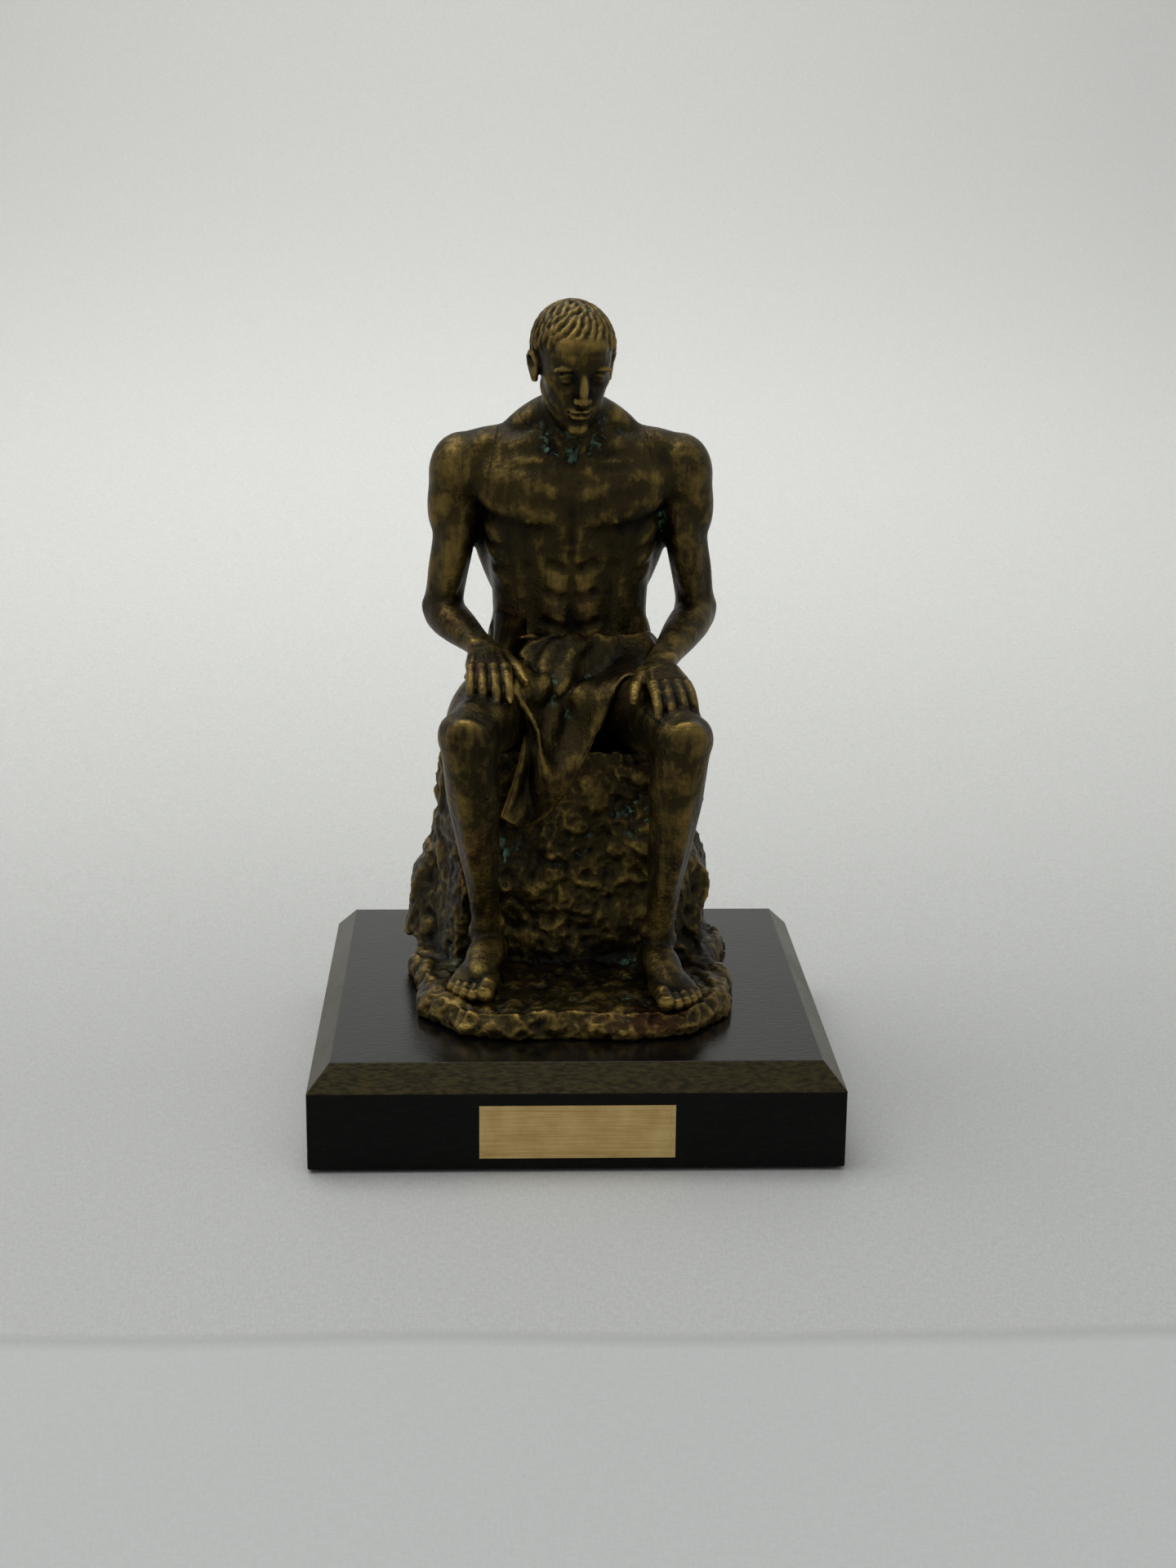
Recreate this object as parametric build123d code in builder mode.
# A patinated bronze figure of a seated man on a rock, on a black lacquered plinth.
#
# The bronze is a hollow lost-wax casting. The foundry casts it in sections (rock, torso, head,
# arms, legs and lap cloth), which meet face to face and are welded and chased into one.
# A bar brazed across the open underside of the rock takes two screws that come up
# through the plinth. A brass plate is glued into the front, and felt covers the underside.
#
# Millimetres. The origin is the middle of the underside, +Z is up and the figure faces -Y.
# The figure's own right side is at -X.

import os
from math import radians, tan

from build123d import *

# Plinth: a square board with a bevelled top edge
plinth_width = 150.0
plinth_height = 29.5
bevel_height = 7.0
bevel_inset = 6.3
edge_round = 0.6

# Felt on the underside
felt_thickness = 1.0
felt_inset = 3.0

# Brass plate in a shallow pocket of the front face, with an engraved border
plate_width = 54.5
plate_height = 15.6
plate_thickness = 0.8
plate_rise = 3.4
plate_proud = 0.3
pocket_clearance = 0.1
border_inset = 1.2
border_width = 0.4
border_depth = 0.15
glue_thickness = 0.2
glue_inset = 0.6

# Screws, washers and the brazed bar that they pull on
screw_spacing = 46.0
screw_back = 10.0
shank_radius = 2.5
screw_head_radius = 4.25
screw_head_height = 5.0
socket_radius = 2.3
socket_depth = 2.6
shank_hole_clearance = 0.3
counterbore_radius = 6.5
counterbore_depth = 12.0
washer_radius = 5.6
washer_thickness = 1.0
lock_washer_radius = 4.5
lock_washer_thickness = 1.3
lock_washer_gap = 0.9
washer_clearance = 0.15
thread_clearance = 0.05
thread_reach = 1.2
bar_depth = 13.0
bar_height = 8.0
bar_rise = 1.0

# Rock: a ledge under the feet, a block to sit on and a low shoulder beside it
rock_width = 100.0
rock_depth = 112.0
rock_back = 1.0
ledge_height = 8.0
ledge_wall = 3.0
seat_width = 88.0
seat_depth = 66.0
seat_back = 25.0
seat_rise = 64.0
rock_wall = 5.0
shoulder_rock_width = 22.0
shoulder_rock_depth = 40.0
shoulder_rock_height = 27.0

# Legs, by the places of their joints
hip_spacing = 28.0
hip_back = 33.0
hip_rise = 13.5
knee_spacing = 62.0
left_knee_forward = 33.0
right_knee_forward = 29.5
knee_rise = 11.0
ankle_spacing = 50.0
left_ankle_forward = 22.0
right_ankle_forward = 14.0
ankle_rise = 11.5
thigh_width = 27.0
thigh_depth = 28.0
knee_radius = 9.0
calf_width = 17.5
calf_depth = 19.5
foot_length = 38.5
foot_width = 14.5
foot_height = 15.0
heel_length = 8.5
foot_turn = 12.0
toe_radius = 1.75
big_toe_radius = 2.5

# Torso
torso_length = 95.0
torso_width = 54.0
torso_depth = 37.0
torso_lean = 7.0
torso_back = 36.0
torso_wall = 4.5
chest_muscle_width = 32.0
chest_muscle_height = 26.0
chest_muscle_depth = 11.5
chest_turn = 14.0
blade_width = 21.0
blade_height = 25.0
blade_depth = 9.0
blade_turn = 12.0
column_spacing = 12.0
column_back = 13.5
column_width = 10.5
column_depth = 9.0
yoke_width = 58.0
yoke_height = 19.0
yoke_depth = 21.0

# Neck and head
neck_width = 18.5
neck_depth = 19.5
neck_sink = 12.0
passage_radius = 4.5
seat_passage_radius = 10.0
head_width = 25.0
head_depth = 31.0
head_height = 36.0
head_forward = 7.0
head_rise = 18.0
head_bow = 16.0
head_turn = 12.0
nose_length = 8.5
nose_width = 5.2
nose_depth = 6.0
ear_height = 9.5
ear_width = 3.4
ear_depth = 5.5

# Arms, by the places of their joints, with the hands on the thighs
shoulder_spacing = 62.0
shoulder_drop = 10.0
shoulder_width = 20.0
shoulder_depth = 21.0
shoulder_height = 27.0
elbow_spacing = 78.0
elbow_back = 30.0
elbow_rise = 36.0
upper_arm_width = 15.5
upper_arm_depth = 17.5
elbow_radius = 6.4
forearm_width = 13.5
forearm_depth = 14.0
palm_length = 15.0
palm_width = 13.5
palm_thickness = 5.5
wrist_lift = 2.0
finger_length = 13.0
finger_radius = 1.5
thumb_length = 13.0
thumb_radius = 1.9
left_hand_turn = 4.0
right_hand_turn = 18.0

# Lap cloth
cloth_thickness = 2.4
cloth_dip = 5.0
cloth_web = 5.0
fall_width = 24.0
fall_depth = 6.0
fall_length = 52.0
fall_fold = 2.2

# Levels and lengths that follow from the sizes
plinth_top = felt_thickness + plinth_height
ledge_top = plinth_top + ledge_height
seat_top = ledge_top + seat_rise
bar_foot = plinth_top + bar_rise
counterbore_top = felt_thickness + counterbore_depth
washer_foot = counterbore_top - washer_thickness
lock_washer_foot = washer_foot - lock_washer_thickness
screw_head_foot = lock_washer_foot - screw_head_height
screw_length = bar_foot + bar_height + thread_reach - lock_washer_foot

UP = Vector(0, 0, 1)
FORWARD = Vector(0, -1, 0)
ACROSS = Vector(1, 0, 0)


def lofted(start, end, side, width, depth, shares):
    """A limb from start to end. Each row of shares is along, width, depth and shift."""
    axis = end - start
    with BuildPart() as form:
        for along, wide, deep, shift in shares:
            with BuildSketch(Plane(origin=start + axis * along, x_dir=side, z_dir=axis)):
                with Locations((0, depth * shift)):
                    Ellipse(width * wide / 2, depth * deep / 2)
        loft()
    return form.part


def ball(centre, radius):
    """A round joint."""
    with BuildPart() as form:
        with Locations(centre):
            Sphere(radius)
    return form.part


def ellipsoid(plane, width, depth, height):
    """A muscle: a unit ball scaled to three sizes and set on a plane."""
    unit = Sphere(1, mode=Mode.PRIVATE)
    return plane * scale(unit, by=(width / 2, depth / 2, height / 2), mode=Mode.PRIVATE)


def digit(points, radii, side):
    """A finger: circles lofted along its joints to a blunt tip."""
    with BuildPart() as form:
        for number, (point, radius) in enumerate(zip(points, radii)):
            before = points[max(number - 1, 0)]
            after = points[min(number + 1, len(points) - 1)]
            with BuildSketch(Plane(origin=point, x_dir=side, z_dir=after - before)):
                Circle(radius)
        loft()
    return form.part


def share_at(rows, along, column):
    """One column of a table of shares, read between its rows."""
    for low, high in zip(rows, rows[1:]):
        if along <= high[0]:
            part = (along - low[0]) / (high[0] - low[0])
            return low[column] + (high[column] - low[column]) * part
    return rows[-1][column]


def rock_form(levels, outline, width, depth, back, height, foot, inset):
    """A faceted block. Each level is its share up, its scale, its shifts and its turn."""
    with BuildPart() as form:
        for up, size, across, along, turn in levels:
            origin = (width * across, back + depth * along, foot + height * up)
            with BuildSketch(Plane(origin=origin).rotated((0, 0, turn))):
                with BuildLine():
                    corners = [(width * size * x / 2, depth * size * y / 2) for x, y in outline]
                    Polyline(*corners, close=True)
                make_face()
                if inset:
                    offset(amount=-inset, kind=Kind.INTERSECTION, mode=Mode.REPLACE)
        loft(ruled=True)
    return form.part


# Rock outlines, from the front left corner round to the right
ledge_outline_shares = (
    (-0.66, -0.92),
    (-0.36, -1.00),
    (-0.08, -0.95),
    (0.28, -1.00),
    (0.66, -0.94),
    (0.92, -0.62),
    (0.97, -0.28),
    (0.90, 0.02),
    (1.00, 0.44),
    (0.82, 0.86),
    (0.36, 1.00),
    (-0.06, 0.94),
    (-0.48, 1.00),
    (-0.84, 0.82),
    (-0.94, 0.42),
    (-1.00, 0.06),
    (-0.92, -0.26),
    (-0.90, -0.64),
)
seat_outline_shares = (
    (-0.80, -0.98),
    (-0.44, -0.90),
    (-0.12, -1.00),
    (0.24, -0.92),
    (0.66, -0.98),
    (0.94, -0.66),
    (0.90, -0.22),
    (1.00, 0.20),
    (0.88, 0.66),
    (0.46, 0.96),
    (0.08, 0.90),
    (-0.34, 1.00),
    (-0.76, 0.82),
    (-1.00, 0.40),
    (-0.90, 0.04),
    (-0.98, -0.44),
)
shoulder_outline_shares = (
    (-1.00, -0.50),
    (-0.30, -1.00),
    (0.90, -0.80),
    (1.00, 0.70),
    (0.10, 1.00),
    (-0.80, 0.55),
)
# Levels of the rock: share up, scale, shifts across and back, and turn in degrees
ledge_level_shares = ((0.0, 1.0, 0.0, 0.0, 0.0), (0.45, 1.0, 0.0, 0.0, 0.0), (1.0, 0.95, 0.0, 0.0, 1.0))
seat_level_shares = (
    (0.00, 1.00, 0.000, 0.00, 0.0),
    (0.16, 0.97, 0.010, 0.00, -2.5),
    (0.34, 1.00, 0.010, 0.02, 3.0),
    (0.54, 0.93, -0.015, 0.01, -2.0),
    (0.72, 0.96, 0.010, 0.03, 2.5),
    (0.88, 0.93, 0.005, 0.01, -1.0),
    (1.00, 0.90, 0.000, 0.02, 1.0),
)
seat_core_level_shares = (
    (0.00, 0.96, 0.000, 0.01, 0.0),
    (0.34, 0.96, 0.000, 0.01, 0.0),
    (0.72, 0.91, 0.000, 0.02, 0.0),
    (1.00, 0.88, 0.000, 0.02, 0.0),
)
shoulder_level_shares = (
    (0.0, 1.0, 0.00, 0.0, 0.0),
    (0.6, 0.9, 0.04, 0.0, 4.0),
    (1.0, 0.6, 0.10, 0.0, 9.0),
)
shoulder_across_share = -0.46
shoulder_back_share = 0.08

# Leg tables: along, width, depth and shift
thigh_shares = (
    (0.00, 1.00, 1.00, 0.00),
    (0.20, 1.04, 1.02, 0.02),
    (0.50, 0.92, 0.90, 0.03),
    (0.78, 0.74, 0.70, 0.00),
    (1.00, 0.60, 0.58, 0.00),
)
shin_shares = (
    (0.00, 0.92, 0.84, 0.00),
    (0.14, 0.92, 0.88, -0.08),
    (0.32, 1.02, 1.02, -0.12),
    (0.55, 0.82, 0.80, -0.10),
    (0.80, 0.54, 0.54, -0.03),
    (1.02, 0.56, 0.60, 0.00),
)
# Along the foot from the heel: place, width and height
foot_shares = (
    (0.00, 0.42, 0.55),
    (0.10, 0.62, 0.95),
    (0.30, 0.66, 1.15),
    (0.50, 0.82, 0.95),
    (0.68, 0.98, 0.62),
    (0.82, 0.92, 0.42),
)
# Each toe: its place across the foot, where it starts and ends, and its radius
toe_shares = (
    (-0.36, 0.72, 0.95, 1.00),
    (-0.12, 0.76, 0.95, 1.00),
    (0.08, 0.75, 0.91, 0.96),
    (0.25, 0.72, 0.86, 0.92),
    (0.40, 0.68, 0.80, 0.88),
)
toe_lift_share = 0.9


class Leg:
    """The joints and forms of one leg. side is 1 on the figure's left."""

    def __init__(self, side, knee_forward, ankle_forward):
        self.side = side
        self.hip = Vector(side * hip_spacing / 2, hip_back, seat_top + hip_rise)
        self.knee = Vector(side * knee_spacing / 2, -knee_forward, seat_top + knee_rise)
        self.ankle = Vector(side * ankle_spacing / 2, -ankle_forward, ledge_top + ankle_rise)
        self.thigh = lofted(self.hip, self.knee, ACROSS, thigh_width, thigh_depth, thigh_shares)
        self.shin = lofted(self.knee, self.ankle, ACROSS, calf_width, calf_depth, shin_shares)
        self.knee_cap = ball(self.knee, knee_radius)
        self.foot = self.make_foot()

    def make_foot(self):
        """A foot flat on the ledge, with its heel behind the ankle."""
        sole = Plane(origin=(self.ankle.X, self.ankle.Y, ledge_top))
        sole = sole.rotated((0, 0, self.side * foot_turn))
        heel = sole.from_local_coords(Vector(0, heel_length, 0))
        axis = sole.y_dir * -foot_length
        with BuildPart() as form:
            for along, wide, high in foot_shares:
                with BuildSketch(Plane(origin=heel + axis * along, x_dir=sole.x_dir, z_dir=axis)):
                    Ellipse(foot_width * wide / 2, foot_height * high)
            loft()
            for number, (across, begin, finish, thick) in enumerate(toe_shares):
                radius = (toe_radius if number else big_toe_radius) * thick
                line = sole.x_dir * (self.side * foot_width * across) + UP * (radius * toe_lift_share)
                root = heel + axis * begin + line
                tip = heel + axis * finish + line
                with BuildSketch(Plane(origin=root, z_dir=axis)):
                    Circle(radius)
                extrude(amount=(tip - root).length)
                with Locations(tip):
                    Sphere(radius)
            split(bisect_by=Plane.XY.offset(ledge_top), keep=Keep.TOP)
        return form.part

    def along_thigh(self, share):
        return self.hip + (self.knee - self.hip) * share


right = Leg(-1, right_knee_forward, right_ankle_forward)
left = Leg(1, left_knee_forward, left_ankle_forward)

# Torso tables: along, width, depth and shift
torso_shares = (
    (-0.06, 0.98, 0.98, 0.02),
    (0.06, 1.10, 1.06, 0.02),
    (0.16, 1.07, 1.01, 0.01),
    (0.28, 0.95, 0.89, -0.01),
    (0.40, 0.89, 0.84, 0.00),
    (0.52, 0.96, 0.83, 0.01),
    (0.66, 1.04, 0.86, 0.03),
    (0.78, 1.07, 0.84, 0.03),
    (0.87, 0.99, 0.74, 0.04),
    (0.94, 0.76, 0.60, 0.04),
    (1.00, 0.44, 0.48, 0.02),
)
torso_core_shares = (
    (-0.06, 0.92, 0.95, 0.02),
    (0.16, 1.02, 0.98, 0.01),
    (0.40, 0.85, 0.78, 0.00),
    (0.66, 0.98, 0.80, 0.03),
    (0.84, 0.76, 0.56, 0.04),
)
# Muscle of the chest and the shoulder blade: place across, forward and up
chest_place_shares = (0.25, 0.29, 0.765)
blade_place_shares = (0.26, -0.36, 0.80)
# The muscle beside the spine: along, width, depth and shift
spine_column_shares = (
    (0.06, 0.90, 0.90, 0.15),
    (0.24, 1.00, 1.00, 0.00),
    (0.50, 1.00, 1.00, 0.00),
    (0.75, 1.00, 0.90, 0.05),
    (0.92, 0.80, 0.70, -0.35),
)
# The muscle from the neck out to each shoulder: place across, height, depth and drop
yoke_shares = (
    (-0.50, 0.72, 0.80, 0.48),
    (-0.22, 1.00, 1.00, 0.22),
    (0.00, 1.10, 1.10, 0.10),
    (0.22, 1.00, 1.00, 0.22),
    (0.50, 0.72, 0.80, 0.48),
)

torso_axis = Vector(0, -tan(radians(torso_lean)), 1).normalized()
torso_foot = Vector(0, torso_back, seat_top)
torso_head = torso_foot + torso_axis * torso_length
core_width = torso_width - 2 * torso_wall
core_depth = torso_depth - 2 * torso_wall
torso_body = lofted(torso_foot, torso_head, ACROSS, torso_width, torso_depth, torso_shares)
torso_core = lofted(torso_foot, torso_head, ACROSS, core_width, core_depth, torso_core_shares)


def rib_muscle(side, place_shares, size, turn):
    """A flat muscle over the ribs on one side, turned to follow them."""
    across, forward, up = place_shares
    middle = torso_foot + torso_axis * (torso_length * up) + FORWARD * (torso_depth * forward)
    middle += ACROSS * (side * torso_width * across)
    plane = Plane(origin=middle, x_dir=ACROSS, z_dir=torso_axis).rotated((0, 0, side * turn))
    return ellipsoid(plane, *size)


def spine_column(side):
    """The column of muscle on one side of the spine, which leaves a furrow between the two."""
    inner = ACROSS * (side * column_spacing / 2) - FORWARD * column_back
    foot = torso_foot + inner
    return lofted(foot, torso_head + inner, ACROSS, column_width, column_depth, spine_column_shares)


chest_size = (chest_muscle_width, chest_muscle_depth, chest_muscle_height)
blade_size = (blade_width, blade_depth, blade_height)
chest = [rib_muscle(side, chest_place_shares, chest_size, chest_turn) for side in (-1, 1)]
blades = [rib_muscle(side, blade_place_shares, blade_size, -blade_turn) for side in (-1, 1)]
spine_columns = [spine_column(side) for side in (-1, 1)]
with BuildPart() as yoke:
    for across, high, deep, drop in yoke_shares:
        middle = torso_head + ACROSS * (yoke_width * across) - torso_axis * (yoke_height * drop)
        with BuildSketch(Plane(origin=middle, x_dir=torso_axis, z_dir=ACROSS)):
            Ellipse(yoke_height * high / 2, yoke_depth * deep / 2)
    loft()

with BuildPart() as torso_solid:
    add(torso_body)
    add(yoke.part)
    add(chest)
    add(blades)
    add(spine_columns)
    split(bisect_by=Plane.XY.offset(seat_top), keep=Keep.TOP)

# Head tables: horizontal slices of the face and jaw under a domed skull
neck_shares = (
    (0.00, 1.20, 1.10, 0.00),
    (0.40, 1.00, 1.00, 0.00),
    (0.95, 0.92, 0.92, 0.00),
)
face_shares = (
    (-0.50, 0.30, 0.24, -0.32),
    (-0.45, 0.52, 0.40, -0.25),
    (-0.34, 0.74, 0.62, -0.15),
    (-0.18, 0.88, 0.82, -0.06),
    (0.00, 0.96, 0.94, -0.01),
    (0.16, 0.98, 0.96, 0.00),
)
skull_share = 0.66
skull_up_share = 0.17
nose_root_shares = (0.46, 0.06)
brow_size_shares = (0.80, 0.24, 0.16)
brow_place_shares = (0.0, -0.36, 0.13)
ear_place_shares = (0.49, 0.02, 0.0)
head_core_share = 0.62
passage_foot_share = 0.78
passage_shares = ((0.0, 1.0, 1.0, 0.0), (1.0, 1.0, 1.0, 0.0))

neck_foot = torso_head - torso_axis * neck_sink
skull = torso_head + torso_axis * head_rise + FORWARD * head_forward
head_plane = Plane(origin=skull, x_dir=ACROSS, z_dir=UP).rotated((head_bow, 0, head_turn))


def on_head(across, along, up):
    """A plane turned as the head is, at a place in shares of the head's sizes."""
    place = Vector(head_width * across, head_depth * along, head_height * up)
    middle = head_plane.from_local_coords(place)
    return Plane(origin=middle, x_dir=head_plane.x_dir, z_dir=head_plane.z_dir)


neck = lofted(neck_foot, skull, ACROSS, neck_width, neck_depth, neck_shares)
dome_plane = on_head(0, 0, skull_up_share)
dome = ellipsoid(dome_plane, head_width, head_depth, head_height * skull_share)
brow_size = [
    size * share for size, share in zip((head_width, head_depth, head_height), brow_size_shares)
]
brow = ellipsoid(on_head(*brow_place_shares), *brow_size)
ears = [
    ellipsoid(
        on_head(side * ear_place_shares[0], *ear_place_shares[1:]), ear_width, ear_depth, ear_height
    )
    for side in (-1, 1)
]

with BuildPart() as head_solid:
    for up, wide, deep, shift in face_shares:
        with BuildSketch(head_plane.offset(head_height * up)):
            with Locations((0, head_depth * shift)):
                Ellipse(head_width * wide / 2, head_depth * deep / 2)
    loft()
    with BuildSketch(Plane(origin=skull, x_dir=head_plane.y_dir, z_dir=head_plane.x_dir)):
        with BuildLine():
            root = (-head_depth * nose_root_shares[0], head_height * nose_root_shares[1])
            tip = (root[0] - nose_depth / 2, root[1] - nose_length)
            back = (root[0] + nose_depth, root[1] - nose_length)
            Polyline(root, tip, back, close=True)
        make_face()
    extrude(amount=nose_width / 2, both=True)
    add(dome)
    add(brow)
    add(ears)
    add(neck)

# Cores that leave the casting hollow from the rock up into the skull
head_core = ellipsoid(
    dome_plane,
    head_width * head_core_share,
    head_depth * head_core_share,
    head_height * skull_share * head_core_share,
)
passage_foot = torso_foot + torso_axis * (torso_length * passage_foot_share)
passage_width = 2 * passage_radius
neck_passage = lofted(passage_foot, skull, ACROSS, passage_width, passage_width, passage_shares)

with BuildPart() as torso:
    add(torso_solid.part)
    add(torso_core, mode=Mode.SUBTRACT)
    add(neck_passage, mode=Mode.SUBTRACT)

with BuildPart() as head:
    add(head_solid.part)
    add(torso_solid.part, mode=Mode.SUBTRACT)
    add(head_core, mode=Mode.SUBTRACT)
    add(neck_passage, mode=Mode.SUBTRACT)


def cut_leg(limb):
    """One leg's section, cut where the torso section begins and where it sits."""
    with BuildPart() as section:
        add(limb.thigh)
        split(bisect_by=Plane.XY.offset(seat_top), keep=Keep.TOP)
        add(limb.shin)
        add(limb.knee_cap)
        add(limb.foot)
        add(torso_solid.part, mode=Mode.SUBTRACT)
    return section


right_leg = cut_leg(right)
left_leg = cut_leg(left)

# Arm tables: along, width, depth and shift
upper_arm_shares = (
    (0.00, 1.00, 1.00, 0.00),
    (0.30, 0.98, 1.00, 0.00),
    (0.55, 0.96, 0.98, 0.00),
    (0.80, 0.80, 0.80, 0.00),
    (1.00, 0.72, 0.70, 0.00),
)
forearm_shares = (
    (0.00, 0.84, 0.84, 0.00),
    (0.22, 1.02, 1.02, 0.00),
    (0.45, 0.92, 0.92, 0.00),
    (0.75, 0.66, 0.62, 0.00),
    (1.00, 0.62, 0.48, 0.00),
)
palm_shares = (
    (0.00, 0.62, 1.10, 0.00),
    (0.35, 0.84, 1.15, 0.00),
    (0.80, 1.00, 1.00, 0.00),
    (1.05, 0.94, 0.74, 0.00),
)
# Each finger: its place across the palm, its length and its radius
finger_shares = (
    (-0.36, 0.92, 1.00),
    (-0.12, 1.00, 1.04),
    (0.12, 0.94, 1.00),
    (0.35, 0.76, 0.90),
)
# Joints of a finger and of the thumb: along, inwards and down in lengths, and the radius
finger_joint_shares = (
    (0.0, 0.0, 0.0, 1.0),
    (0.5, 0.0, 0.12, 1.0),
    (0.88, 0.0, 0.36, 0.9),
    (1.0, 0.0, 0.5, 0.5),
)
thumb_joint_shares = (
    (0.0, 0.0, 0.0, 1.2),
    (0.36, 0.30, 0.12, 1.0),
    (0.8, 0.4, 0.3, 0.9),
    (0.95, 0.42, 0.4, 0.5),
)
thumb_root_shares = (0.35, 0.30)
shoulder_cap_share = 0.10
left_hand_share = 0.80
right_hand_share = 0.64


class Arm:
    """The joints and forms of one arm, whose hand lies on the thigh of the same side."""

    def __init__(self, limb, hand_share, hand_turn):
        side = self.side = limb.side
        inner = Vector(side * shoulder_spacing / 2, 0, 0)
        self.shoulder = torso_head - torso_axis * shoulder_drop + inner
        self.elbow = Vector(side * elbow_spacing / 2, elbow_back, seat_top + elbow_rise)
        lift = (thigh_depth * share_at(thigh_shares, hand_share, 2) + palm_thickness) / 2
        self.knuckles = limb.along_thigh(hand_share) + UP * lift
        thigh = (limb.knee - limb.hip).normalized()
        self.along = thigh.rotate(Axis.Z, -side * hand_turn)
        self.across = self.along.cross(UP).normalized() * side
        self.wrist = self.knuckles - self.along * palm_length + UP * wrist_lift

    def forms(self):
        """The bones' lofts, the shoulder, the elbow and the hand."""
        upper_size = (upper_arm_width, upper_arm_depth, upper_arm_shares)
        upper = lofted(self.shoulder, self.elbow, ACROSS, *upper_size)
        lower = lofted(self.elbow, self.wrist, ACROSS, forearm_width, forearm_depth, forearm_shares)
        palm_size = (palm_width, palm_thickness, palm_shares)
        palm = lofted(self.wrist, self.knuckles, self.across, *palm_size)
        cap_plane = Plane(
            origin=self.shoulder - UP * (shoulder_height * shoulder_cap_share),
            x_dir=ACROSS,
            z_dir=self.shoulder - self.elbow,
        )
        cap = ellipsoid(cap_plane, shoulder_width, shoulder_depth, shoulder_height)
        return [upper, lower, palm, cap, ball(self.elbow, elbow_radius), *self.digits()]

    def digit_at(self, root, length, radius, joints):
        """A finger or thumb from its root, bent by its table of joints."""
        points = []
        radii = []
        for along, inwards, down, thick in joints:
            step = self.along * along - self.across * inwards - UP * down
            points.append(root + step * length)
            radii.append(radius * thick)
        return digit(points, radii, self.across)

    def digits(self):
        """Four fingers that bend down over the thigh, and a thumb on its inner side."""
        made = []
        for across, long, thick in finger_shares:
            root = self.knuckles + self.across * (across * palm_width) - self.along * finger_radius
            finger = (finger_length * long, finger_radius * thick, finger_joint_shares)
            made.append(self.digit_at(root, *finger))
        along, inwards = thumb_root_shares
        root = self.wrist + self.along * (palm_length * along) - self.across * (palm_width * inwards)
        made.append(self.digit_at(root, thumb_length, thumb_radius, thumb_joint_shares))
        return made


def cut_arm(arm, limb_section):
    """One arm's section, cut where the torso begins and fitted to the thigh it rests on."""
    forms = arm.forms()
    with BuildPart() as section:
        add(forms)
        add(torso_solid.part, mode=Mode.SUBTRACT)
        add(limb_section.part, mode=Mode.SUBTRACT)
    return section


right_arm = cut_arm(Arm(right, right_hand_share, right_hand_turn), right_leg)
left_arm = cut_arm(Arm(left, left_hand_share, left_hand_turn), left_leg)

# Rock, hollow and open below, cut to fit the figure
rock_size = (rock_width, rock_depth, rock_back)
seat_size = (seat_width, seat_depth, seat_back)
ledge_block = rock_form(
    ledge_level_shares, ledge_outline_shares, *rock_size, ledge_height, plinth_top, 0
)
seat_block = rock_form(seat_level_shares, seat_outline_shares, *seat_size, seat_rise, ledge_top, 0)
shoulder_block = rock_form(
    shoulder_level_shares,
    shoulder_outline_shares,
    shoulder_rock_width,
    shoulder_rock_depth,
    seat_back + seat_depth * shoulder_back_share,
    shoulder_rock_height,
    ledge_top,
    0,
)
ledge_core = rock_form(
    ledge_level_shares,
    ledge_outline_shares,
    *rock_size,
    ledge_height - ledge_wall,
    plinth_top,
    rock_wall,
)
seat_core = rock_form(
    seat_core_level_shares,
    seat_outline_shares,
    *seat_size,
    seat_rise - rock_wall + ledge_wall,
    ledge_top - ledge_wall,
    rock_wall,
)
with BuildPart() as rock_core:
    add(ledge_core)
    add(seat_core)

with BuildPart() as rock:
    add(ledge_block)
    add(seat_block)
    add(Pos(seat_width * shoulder_across_share, 0, 0) * shoulder_block)
    add(rock_core.part, mode=Mode.SUBTRACT)
    with Locations((0, torso_back, seat_top)):
        Cylinder(seat_passage_radius, 2 * rock_wall, mode=Mode.SUBTRACT)
    for limb_section in (right_leg, left_leg):
        add(limb_section.part, mode=Mode.SUBTRACT)

# Lap cloth: a sleeve of cloth over each thigh, a web that sags between them and a fall
# of folds down the front of the rock
sleeve_shares = (
    (0.10, 0.70),
    (0.20, 1.00),
    (0.30, 0.80),
    (0.40, 1.00),
    (0.50, 0.80),
    (0.58, 0.70),
)
web_shares = (0.26, 0.64)
web_height_share = 0.72
# Levels of the fall: share down, width, fold depth and shift across
fall_level_shares = (
    (0.00, 0.90, 1.0, 0.00),
    (0.40, 1.00, 0.9, 0.03),
    (0.75, 0.86, 0.8, -0.04),
    (1.00, 0.78, 0.6, 0.02),
)
fold_count = 4


def sleeve(limb):
    """Cloth over one thigh, with ridges across it. Each row is along and thickness."""
    axis = limb.knee - limb.hip
    with BuildPart() as form:
        for along, thick in sleeve_shares:
            plane = Plane(origin=limb.along_thigh(along), x_dir=ACROSS, z_dir=axis)
            grown = cloth_thickness * thick
            wide = thigh_width * share_at(thigh_shares, along, 1) / 2 + grown
            deep = thigh_depth * share_at(thigh_shares, along, 2) / 2 + grown
            with BuildSketch(plane):
                Ellipse(wide, deep)
        loft()
    return form.part


def web_top(share):
    """The height of the cloth over the thighs at one share along them."""
    radius = thigh_depth * share_at(thigh_shares, share, 2) / 2
    return left.along_thigh(share).Z + radius * web_height_share


with BuildPart() as web:
    for share in web_shares:
        place = left.along_thigh(share)
        top = web_top(share)
        foot = top - cloth_dip - cloth_web
        with BuildSketch(Plane(origin=(0, place.Y, 0), x_dir=ACROSS, z_dir=FORWARD)):
            with BuildLine():
                Polyline((-place.X, top), (-place.X, foot), (place.X, foot), (place.X, top))
                ThreePointArc((place.X, top), (0, top - cloth_dip), (-place.X, top))
            make_face()
    loft()

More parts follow.
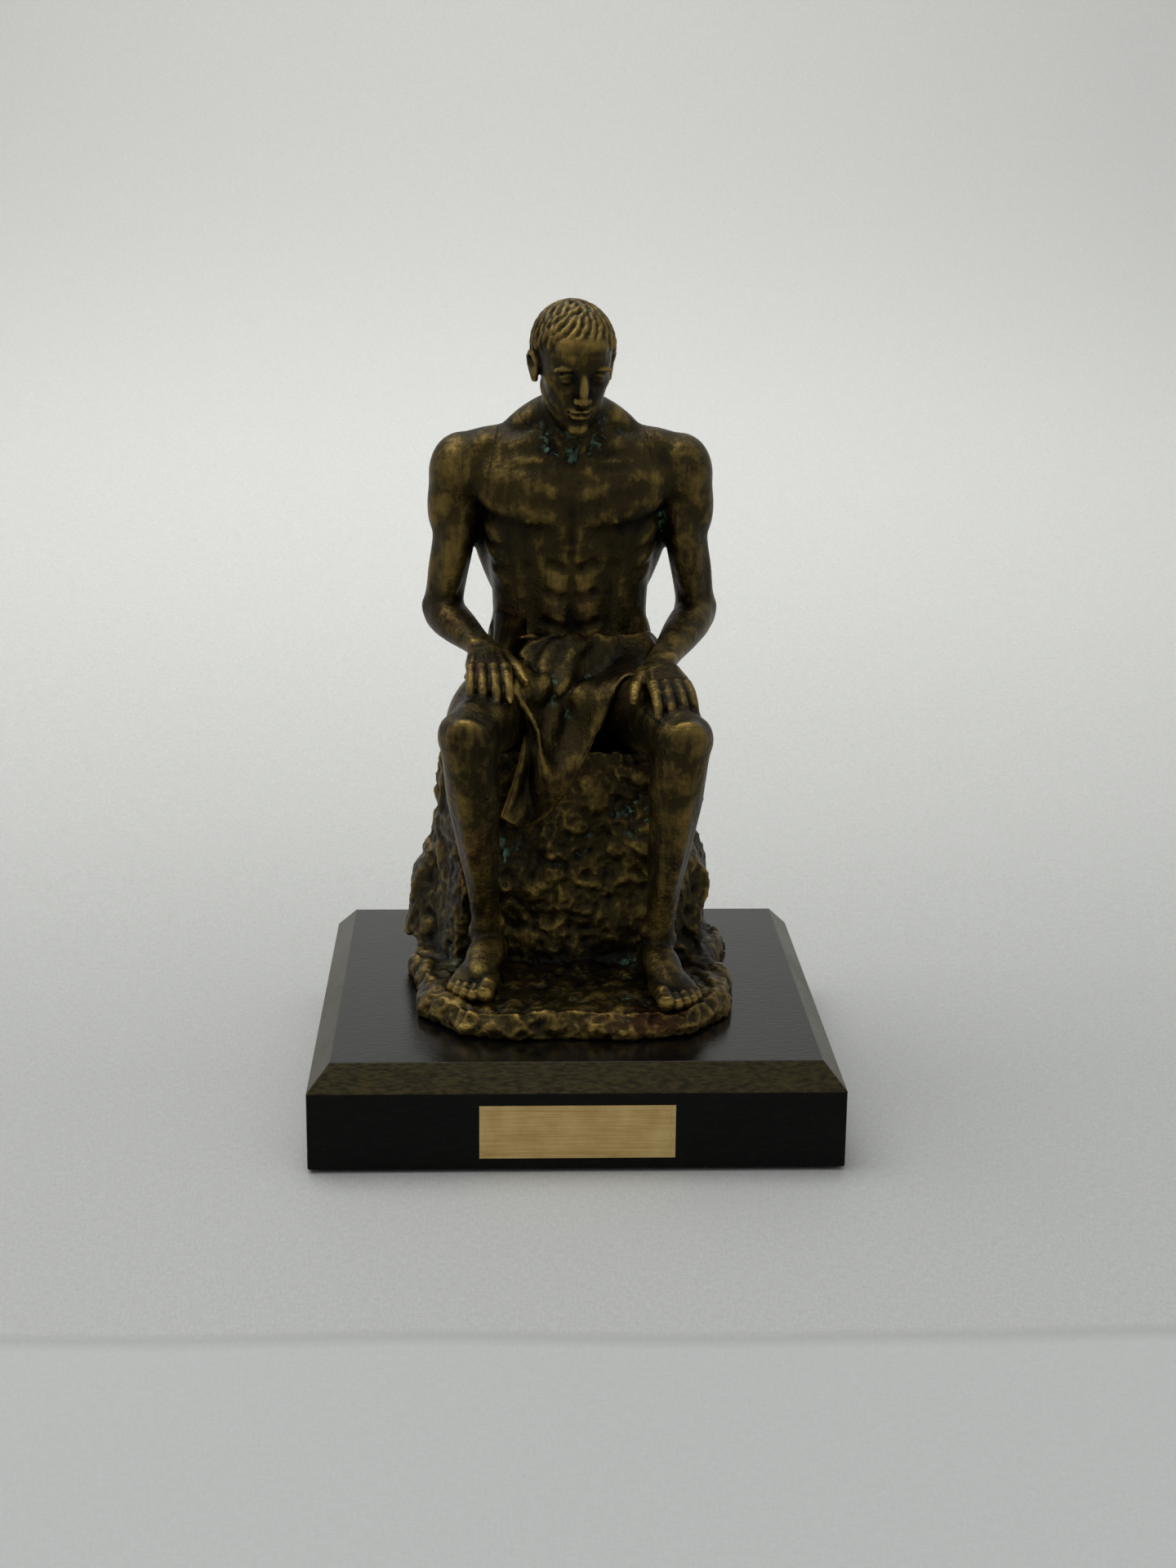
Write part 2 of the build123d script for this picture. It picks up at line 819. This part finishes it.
fall_top = web_top(web_shares[1]) - cloth_dip
fall_front = left.along_thigh(web_shares[1]).Y
with BuildPart() as fall:
    for down, wide, deep, shift in fall_level_shares:
        width = fall_width * wide
        pleat = width / fold_count
        with BuildSketch(Plane(origin=(fall_width * shift, fall_front, fall_top - fall_length * down))):
            with BuildLine():
                Polyline((width / 2, 0), (width / 2, fall_depth), (-width / 2, fall_depth), (-width / 2, 0))
                for number in range(fold_count):
                    start = -width / 2 + pleat * number
                    crest = (start + pleat / 2, -fall_fold * deep)
                    ThreePointArc((start, 0), crest, (start + pleat, 0))
            make_face()
    loft(ruled=True)

sleeves = [sleeve(limb) for limb in (right, left)]
with BuildPart() as lap_cloth:
    add(sleeves)
    add(web.part)
    add(fall.part)
    for neighbour in (torso_solid, right_leg, left_leg, right_arm, left_arm, rock):
        add(neighbour.part, mode=Mode.SUBTRACT)
    add(rock_core.part, mode=Mode.SUBTRACT)

# Underside felt
with BuildPart() as base_felt:
    with BuildSketch():
        Rectangle(plinth_width - 2 * felt_inset, plinth_width - 2 * felt_inset)
    extrude(amount=felt_thickness)

# Plinth, bored from below for the screws and pocketed in front for the plate
upright = (Align.CENTER, Align.CENTER, Align.MIN)
screw_places = [(-screw_spacing / 2, screw_back), (screw_spacing / 2, screw_back)]
plate_middle = felt_thickness + plate_rise + plate_height / 2
pocket_depth = glue_thickness + plate_thickness - plate_proud
pocket_floor = -plinth_width / 2 + pocket_depth
pocket_plane = Plane(origin=(0, pocket_floor, plate_middle), x_dir=ACROSS, z_dir=FORWARD)
with BuildPart() as plinth:
    with BuildSketch(Plane.XY.offset(felt_thickness)):
        Rectangle(plinth_width, plinth_width)
    extrude(amount=plinth_height - bevel_height)
    with BuildSketch(Plane.XY.offset(plinth_top - bevel_height)):
        Rectangle(plinth_width, plinth_width)
    with BuildSketch(Plane.XY.offset(plinth_top)):
        Rectangle(plinth_width - 2 * bevel_inset, plinth_width - 2 * bevel_inset)
    loft(ruled=True)
    fillet(plinth.edges(), edge_round)
    with Locations(Plane.XY.offset(felt_thickness)):
        with Locations(*screw_places):
            Cylinder(counterbore_radius, counterbore_depth, align=upright, mode=Mode.SUBTRACT)
            shank_hole_radius = shank_radius + shank_hole_clearance
            Cylinder(shank_hole_radius, plinth_height, align=upright, mode=Mode.SUBTRACT)
    with BuildSketch(pocket_plane):
        pocket_growth = 2 * pocket_clearance
        Rectangle(plate_width + pocket_growth, plate_height + pocket_growth)
    extrude(amount=pocket_depth, mode=Mode.SUBTRACT)

# Plate and the glue behind it
with BuildPart() as nameplate_glue:
    with BuildSketch(pocket_plane):
        Rectangle(plate_width - 2 * glue_inset, plate_height - 2 * glue_inset)
    extrude(amount=glue_thickness)

plate_back = pocket_plane.offset(glue_thickness)
with BuildPart() as nameplate:
    with BuildSketch(plate_back):
        Rectangle(plate_width, plate_height)
    extrude(amount=plate_thickness)
    with BuildSketch(plate_back.offset(plate_thickness)):
        Rectangle(plate_width - 2 * border_inset, plate_height - 2 * border_inset)
        inner_inset = border_inset + border_width
        inner_width = plate_width - 2 * inner_inset
        inner_height = plate_height - 2 * inner_inset
        Rectangle(inner_width, inner_height, mode=Mode.SUBTRACT)
    extrude(amount=-border_depth, mode=Mode.SUBTRACT)

# Bar brazed across the rock's cavity, tapped for the screws
with BuildPart() as mounting_bar:
    with Locations((0, screw_back, bar_foot)):
        Box(rock_width, bar_depth, bar_height, align=upright)
    add(rock_core.part, mode=Mode.INTERSECT)
    with Locations(Plane.XY.offset(bar_foot)):
        with Locations(*screw_places):
            tapped_radius = shank_radius + thread_clearance
            Cylinder(tapped_radius, bar_height, align=upright, mode=Mode.SUBTRACT)

# Screws from below, each with a spring washer and a flat washer under its head
with BuildPart() as mounting_screws:
    with Locations(*screw_places):
        with Locations((0, 0, screw_head_foot)):
            Cylinder(screw_head_radius, screw_head_height, align=upright)
        with Locations((0, 0, lock_washer_foot)):
            Cylinder(shank_radius, screw_length, align=upright)
    with BuildSketch(Plane.XY.offset(screw_head_foot)):
        with Locations(*screw_places):
            RegularPolygon(socket_radius, side_count=6)
    extrude(amount=socket_depth, mode=Mode.SUBTRACT)

washer_bore = shank_radius + washer_clearance
with BuildPart() as lock_washers:
    with BuildSketch(Plane.XY.offset(lock_washer_foot)):
        with Locations(*screw_places):
            Circle(lock_washer_radius)
            Circle(washer_bore, mode=Mode.SUBTRACT)
            with Locations((lock_washer_radius / 2, 0)):
                Rectangle(lock_washer_radius, lock_washer_gap, mode=Mode.SUBTRACT)
    extrude(amount=lock_washer_thickness)

with BuildPart() as flat_washers:
    with BuildSketch(Plane.XY.offset(washer_foot)):
        with Locations(*screw_places):
            Circle(washer_radius)
            Circle(washer_bore, mode=Mode.SUBTRACT)
    extrude(amount=washer_thickness)

os.makedirs("parts", exist_ok=True)
pieces = {
    "base_felt": base_felt,
    "plinth": plinth,
    "nameplate": nameplate,
    "nameplate_glue": nameplate_glue,
    "mounting_screws": mounting_screws,
    "lock_washers": lock_washers,
    "flat_washers": flat_washers,
    "mounting_bar": mounting_bar,
    "rock": rock,
    "torso": torso,
    "head": head,
    "right_arm": right_arm,
    "left_arm": left_arm,
    "right_leg": right_leg,
    "left_leg": left_leg,
    "lap_cloth": lap_cloth,
}
for name, piece in pieces.items():
    piece.part.label = name
    export_step(piece.part, f"parts/{name}.step")
